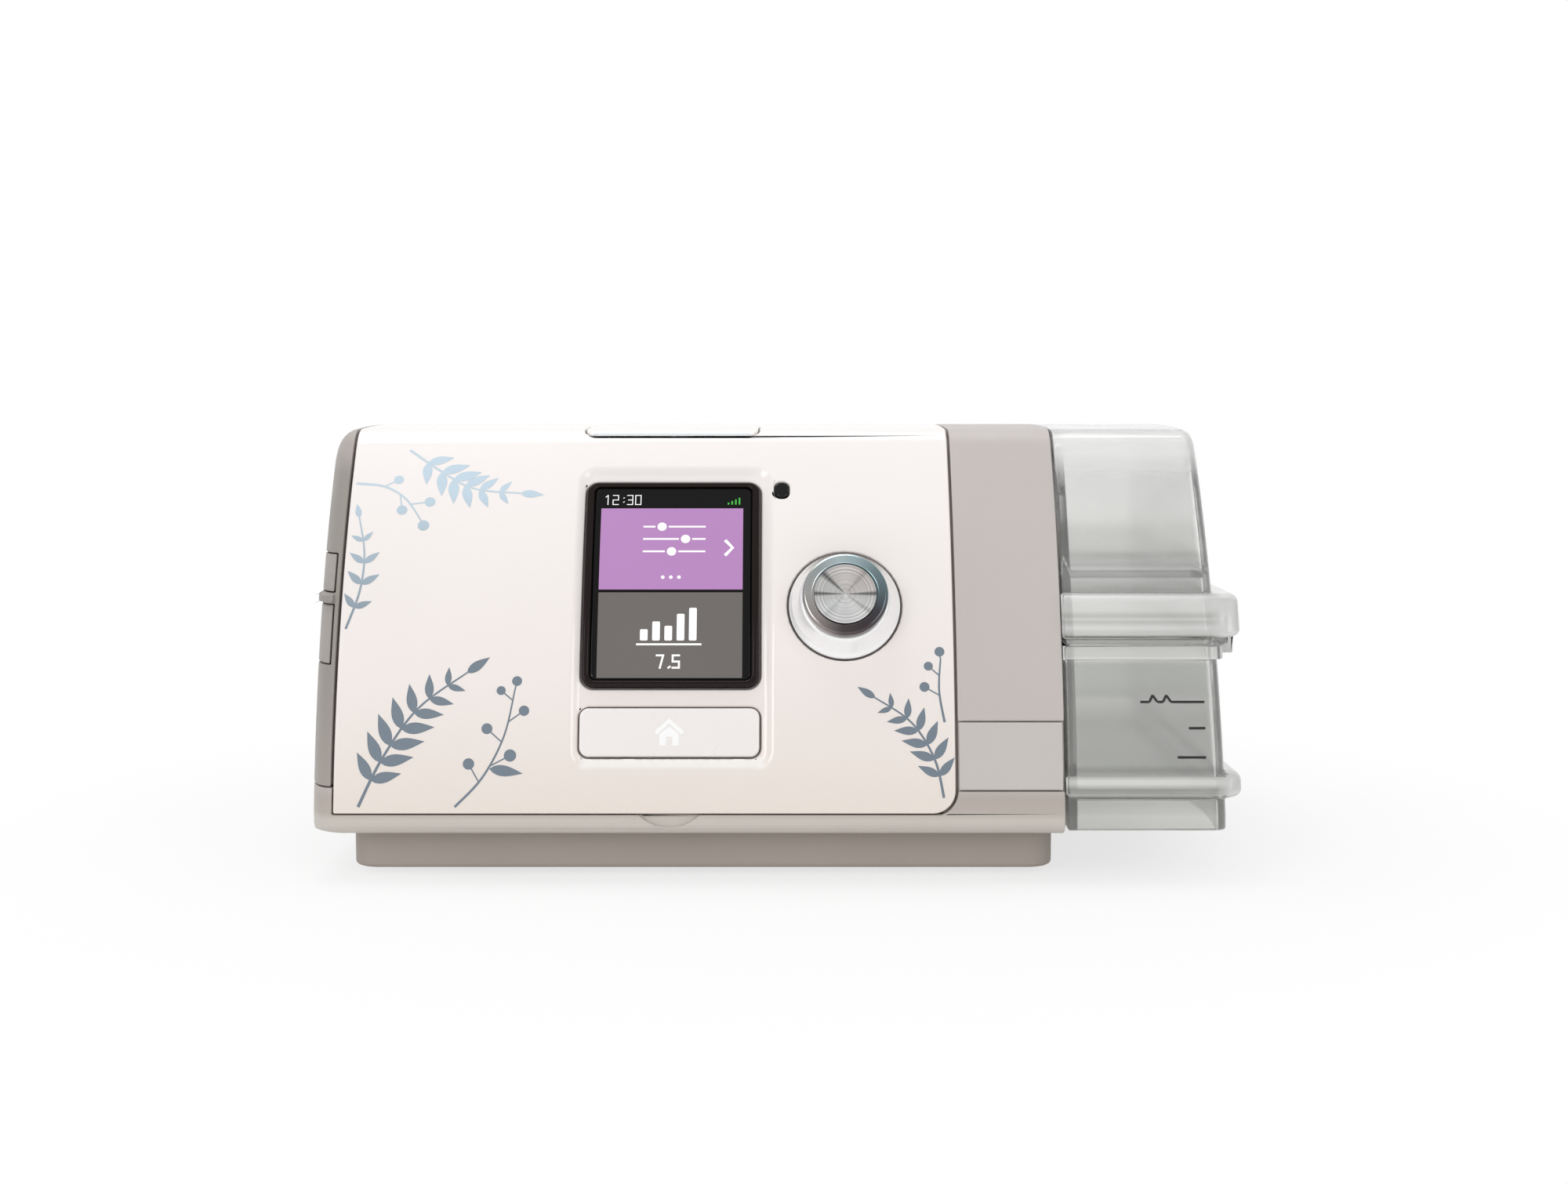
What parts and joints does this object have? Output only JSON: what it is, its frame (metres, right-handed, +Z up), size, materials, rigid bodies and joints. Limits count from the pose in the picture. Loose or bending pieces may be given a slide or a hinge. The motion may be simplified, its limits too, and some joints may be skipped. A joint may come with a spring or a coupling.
{
  "type": "cpap machine",
  "caption": "Bedside positive airway pressure machine with screen, home button, dial, blower, side covers and a clear slide-out water tub with hinged lid.",
  "frame": {"origin": "centre of the machine's overall box at the level that its feet stand on", "axes": "+X to the right of someone who faces the screen, along the longest side; +Y to the back; +Z up, along the shortest side"},
  "size_m": [0.205, 0.15, 0.0985],
  "materials": {
    "white_gloss": "glossy white moulded plastic",
    "flank_grey": "satin warm grey plastic",
    "strip_grey": "satin light grey plastic",
    "tray_grey": "satin light grey plastic",
    "plinth_grey": "matte brown grey plastic",
    "rubber": "soft dark rubber",
    "black_gloss": "glossy black plastic",
    "screen_glass": "clear window",
    "display": "lit display",
    "polished": "polished metal",
    "brushed": "brushed metal disc",
    "steel": "plain steel",
    "clear": "clear polycarbonate",
    "seal": "soft pale silicone",
    "board": "green circuit board",
    "inner_black": "black moulded plastic",
    "inner_white": "white moulded plastic",
    "foam": "open cell foam",
    "filter": "white filter fleece",
    "card_blue": "blue plastic",
    "aluminium": "bare aluminium"
  },
  "bodies": {
    "housing": {"rear_housing": "strip_grey", "bottom_housing": "tray_grey", "plinth": "plinth_grey", "front_fascia": "white_gloss", "label_plate": "strip_grey", "foot_1": "rubber", "foot_2": "rubber", "foot_3": "rubber", "foot_4": "rubber", "case_screw_1": "steel", "case_screw_2": "steel", "case_screw_3": "steel", "case_screw_4": "steel", "screen_bezel": "black_gloss", "screen_glass": "screen_glass", "display_module": "display", "home_switch": "inner_black", "light_sensor": "black_gloss", "start_switch": "board", "encoder_body": "inner_black", "main_board": "board", "radio_module": "steel", "card_socket": "inner_black", "adapter_socket": "inner_black", "air_filter": "filter", "intake_foam": "foam", "blower_mount": "seal", "blower_lower": "inner_white", "blower_upper": "inner_white", "motor": "steel", "blower_duct": "inner_white", "flow_sensor": "inner_black", "port_seal_in": "seal", "port_seal_out": "seal", "outlet_elbow": "inner_white", "air_outlet": "strip_grey", "power_inlet": "inner_black", "bay_liner": "inner_white", "heater_plate": "aluminium"},
    "start_button": {"start_button": "white_gloss"},
    "home_button": {"home_button": "white_gloss"},
    "dial_stem": {"encoder_shaft": "steel"},
    "dial": {"dial_knob": "polished", "dial_disc": "brushed"},
    "card_cover": {"card_cover": "flank_grey"},
    "memory_card": {"memory_card": "card_blue"},
    "adapter_cover": {"adapter_cover": "flank_grey"},
    "filter_cover": {"filter_cover": "flank_grey"},
    "power_clip": {"power_clip": "strip_grey"},
    "rotor": {"motor_shaft": "steel", "impeller": "inner_black"},
    "tub": {"tub_base": "clear", "tub_plate": "aluminium", "hinge_pin_front": "steel", "hinge_pin_back": "steel"},
    "tub_lid": {"tub_lid": "clear", "tub_seal": "seal"}
  },
  "joints": [
    {"name": "start_press", "type": "slide", "parent": "housing", "child": "start_button", "axis": [0, 0, -1], "range_m": [0, 0.0008], "stiffness_N_per_m": 1200},
    {"name": "home_press", "type": "slide", "parent": "housing", "child": "home_button", "axis": [0, 0.9624, -0.2716], "range_m": [0, 0.0006], "stiffness_N_per_m": 1200},
    {"name": "dial_press", "type": "slide", "parent": "housing", "child": "dial_stem", "axis": [0, 0.9064, -0.4224], "range_m": [0, 0.0008], "stiffness_N_per_m": 2500},
    {"name": "dial_turn", "type": "hinge", "parent": "dial_stem", "child": "dial", "pos_m": [0.015, -0.06112, 0.05923], "axis": [0, -0.9064, 0.4224], "continuous": true},
    {"name": "card_cover_hinge", "type": "hinge", "parent": "housing", "child": "card_cover", "pos_m": [-0.1021, -0.0224, 0.0663], "axis": [0, 0, -1], "range_deg": [0, 100]},
    {"name": "card_press", "type": "slide", "parent": "housing", "child": "memory_card", "axis": [1, 0, 0], "range_m": [0, 0.001], "stiffness_N_per_m": 900},
    {"name": "adapter_cover_hinge", "type": "hinge", "parent": "housing", "child": "adapter_cover", "pos_m": [-0.1021, -0.0264, 0.0532], "axis": [0, 0, -1], "range_deg": [0, 100]},
    {"name": "filter_cover_hinge", "type": "hinge", "parent": "housing", "child": "filter_cover", "pos_m": [-0.1021, 0.033, 0.0364], "axis": [0, -1, 0], "range_deg": [0, 90]},
    {"name": "clip_hinge", "type": "hinge", "parent": "housing", "child": "power_clip", "pos_m": [-0.0015, 0.0674, 0.0422], "axis": [1, 0, 0], "range_deg": [0, 90]},
    {"name": "impeller_spin", "type": "hinge", "parent": "housing", "child": "rotor", "pos_m": [-0.052, 0.022, 0.04], "axis": [0, 0, 1], "continuous": true},
    {"name": "tub_slide", "type": "slide", "parent": "housing", "child": "tub", "axis": [1, 0, 0], "range_m": [0, 0.095]},
    {"name": "lid_hinge", "type": "hinge", "parent": "tub", "child": "tub_lid", "pos_m": [0.0182, 0.005, 0.0523], "axis": [0, -1, 0], "range_deg": [0, 61]}
  ],
  "couplings": [
    {"joint": "lid_hinge", "follows": "tub_slide", "rad_per_m": 11}
  ]
}
